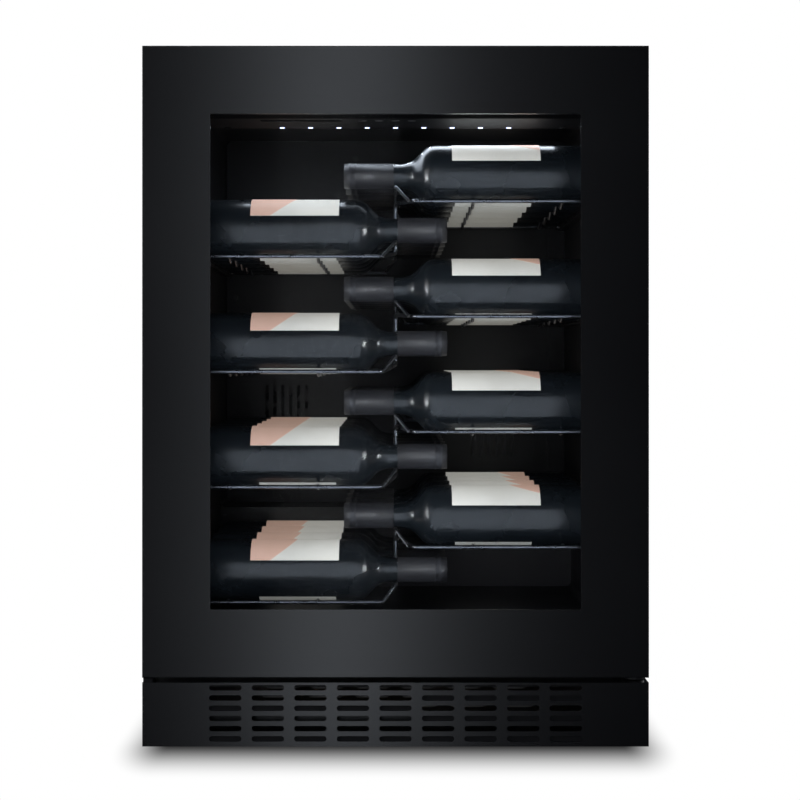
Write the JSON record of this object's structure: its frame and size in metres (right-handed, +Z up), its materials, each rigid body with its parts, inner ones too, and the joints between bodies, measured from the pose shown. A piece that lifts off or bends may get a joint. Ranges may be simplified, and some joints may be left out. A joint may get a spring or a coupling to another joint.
{
  "type": "wine cooler",
  "caption": "Under-counter wine cooler: black cabinet, hinged glass door without a handle, stepped wire racks for lying bottles, vented kick grille, rear machine bay.",
  "frame": {"origin": "centre of the footprint, on the floor", "axes": "+Z up, the door faces -Y, +X to the viewer's right and the hinge side"},
  "size_m": [0.595, 0.574, 0.826],
  "materials": {
    "satin_black_steel": "satin",
    "grey_zinc_sheet": "satin",
    "black_moulding": "matte",
    "dark_liner": "satin",
    "insulation_foam": "matte",
    "tinted_glass": "gloss",
    "display_glass": "gloss",
    "touch_pad": "satin",
    "led_lens": "gloss",
    "circuit_board": "satin",
    "rack_wire": "satin",
    "hinge_steel": "satin",
    "bearing_plastic": "satin",
    "seal_rubber": "matte",
    "foot_plastic": "matte",
    "compressor_black": "gloss",
    "copper_pipe": "satin",
    "bare_aluminium": "satin"
  },
  "bodies": {
    "cabinet": {"back_panel": "grey_zinc_sheet", "base_front_frame": "grey_zinc_sheet", "base_pan": "grey_zinc_sheet", "cabinet_screws": "hinge_steel", "circulation_fan_frame": "black_moulding", "compressor": "compressor_black", "compressor_mounts": "seal_rubber", "compressor_terminal_cover": "black_moulding", "condenser_coil": "bare_aluminium", "condenser_fan_frame": "black_moulding", "control_board": "circuit_board", "discharge_line": "copper_pipe", "display_window": "display_glass", "drip_tray": "black_moulding", "evaporator_plate": "bare_aluminium", "filter_drier": "copper_pipe", "foam_insulation": "insulation_foam", "foot_nuts": "hinge_steel", "grille_louvres": "black_moulding", "hinge_pins": "hinge_steel", "inner_liner": "dark_liner", "kick_grille": "satin_black_steel", "lamp_housing": "black_moulding", "led_board": "circuit_board", "led_lenses": "led_lens", "left_corner_cap": "black_moulding", "left_rack_runners": "dark_liner", "lower_hinge_bracket": "hinge_steel", "machine_bay_cover": "grey_zinc_sheet", "opener_housing": "black_moulding", "outer_case": "satin_black_steel", "power_board_box": "black_moulding", "power_inlet": "black_moulding", "rear_duct_cover": "dark_liner", "right_rack_runners": "dark_liner", "suction_line": "copper_pipe", "temperature_sensor": "bearing_plastic", "touch_buttons": "touch_pad", "upper_hinge_bracket": "hinge_steel"},
    "door": {"door_front_panel": "satin_black_steel", "door_core": "black_moulding", "door_liner": "black_moulding", "outer_glass": "tinted_glass", "inner_glass": "tinted_glass", "glass_spacer": "bare_aluminium", "door_gasket": "seal_rubber", "hinge_bushings": "bearing_plastic", "striker_pad": "black_moulding"},
    "rack_1_slide": {"rack_1": "rack_wire"},
    "rack_2_slide": {"rack_2": "rack_wire"},
    "rack_3_slide": {"rack_3": "rack_wire"},
    "rack_4_slide": {"rack_4": "rack_wire"},
    "circulation_fan": {"circulation_fan_rotor": "black_moulding"},
    "condenser_fan": {"condenser_fan_rotor": "black_moulding"},
    "latch_plunger": {"opener_plunger": "black_moulding"},
    "front_left_leveller": {"front_left_foot": "foot_plastic"},
    "front_right_leveller": {"front_right_foot": "foot_plastic"},
    "rear_left_leveller": {"rear_left_foot": "foot_plastic"},
    "rear_right_leveller": {"rear_right_foot": "foot_plastic"}
  },
  "joints": [
    {"name": "door_hinge", "type": "hinge", "parent": "cabinet", "child": "door", "pos_m": [0.2835, -0.261, 0.45], "axis": [0, 0, 1], "range_deg": [0, 110]},
    {"name": "circulation_fan_spin", "type": "hinge", "parent": "cabinet", "child": "circulation_fan", "pos_m": [-0.1585, 0.206, 0.391], "axis": [0, 1, 0], "continuous": true},
    {"name": "condenser_fan_spin", "type": "hinge", "parent": "cabinet", "child": "condenser_fan", "pos_m": [-0.16, 0.219, 0.115], "axis": [1, 0, 0], "continuous": true},
    {"name": "latch_press", "type": "slide", "parent": "cabinet", "child": "latch_plunger", "axis": [0, 1, 0], "range_m": [0, 0.005], "stiffness_N_per_m": 200, "springref_m": -0.002},
    {"name": "rack_1_pull", "type": "slide", "parent": "cabinet", "child": "rack_1_slide", "axis": [0, -1, 0], "range_m": [0, 0.09]},
    {"name": "rack_2_pull", "type": "slide", "parent": "cabinet", "child": "rack_2_slide", "axis": [0, -1, 0], "range_m": [0, 0.09]},
    {"name": "rack_3_pull", "type": "slide", "parent": "cabinet", "child": "rack_3_slide", "axis": [0, -1, 0], "range_m": [0, 0.09]},
    {"name": "rack_4_pull", "type": "slide", "parent": "cabinet", "child": "rack_4_slide", "axis": [0, -1, 0], "range_m": [0, 0.09]},
    {"name": "front_left_turn", "type": "hinge", "parent": "cabinet", "child": "front_left_leveller", "pos_m": [-0.265, -0.2, 0.01], "axis": [0, 0, 1], "continuous": true},
    {"name": "front_right_turn", "type": "hinge", "parent": "cabinet", "child": "front_right_leveller", "pos_m": [0.265, -0.2, 0.01], "axis": [0, 0, 1], "continuous": true},
    {"name": "rear_left_turn", "type": "hinge", "parent": "cabinet", "child": "rear_left_leveller", "pos_m": [-0.265, 0.24, 0.01], "axis": [0, 0, 1], "continuous": true},
    {"name": "rear_right_turn", "type": "hinge", "parent": "cabinet", "child": "rear_right_leveller", "pos_m": [0.265, 0.24, 0.01], "axis": [0, 0, 1], "continuous": true}
  ],
  "couplings": [
    {"joint": "rack_1_pull", "follows": "door_hinge", "m_per_rad": 0.045},
    {"joint": "rack_2_pull", "follows": "door_hinge", "m_per_rad": 0.045},
    {"joint": "rack_3_pull", "follows": "door_hinge", "m_per_rad": 0.045},
    {"joint": "rack_4_pull", "follows": "door_hinge", "m_per_rad": 0.045}
  ]
}
